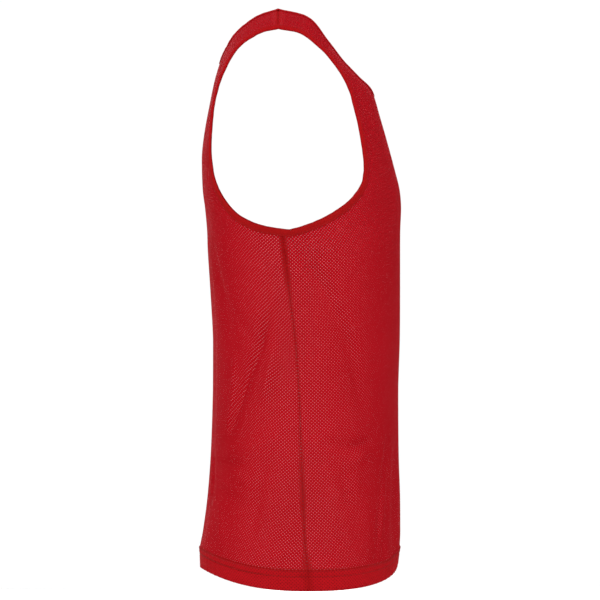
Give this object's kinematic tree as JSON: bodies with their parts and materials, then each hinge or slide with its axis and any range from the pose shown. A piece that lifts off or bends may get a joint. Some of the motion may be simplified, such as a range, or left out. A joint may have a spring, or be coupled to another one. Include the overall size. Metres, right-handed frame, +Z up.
{
  "type": "training bib",
  "caption": "Sleeveless open-mesh training bib in plain red, filled out as if worn, with bound neck and armholes and a turned-up hem.",
  "frame": {"origin": "middle of the neck opening at the level of the two shoulder seams, where the wearer's shoulders hold the bib up", "axes": "+Z up along the bib's length, -Y towards the wearer's front, +X towards the wearer's left"},
  "size_m": [0.4296, 0.2436, 0.6981],
  "materials": {
    "mesh_cloth": "red polyester mesh, slight sheen",
    "binding": "darker red doubled polyester, matt"
  },
  "bodies": {
    "root": {"front_panel": "mesh_cloth", "back_panel": "mesh_cloth", "neck_binding": "binding", "armhole_binding_right": "binding", "armhole_binding_left": "binding"}
  },
  "joints": []
}
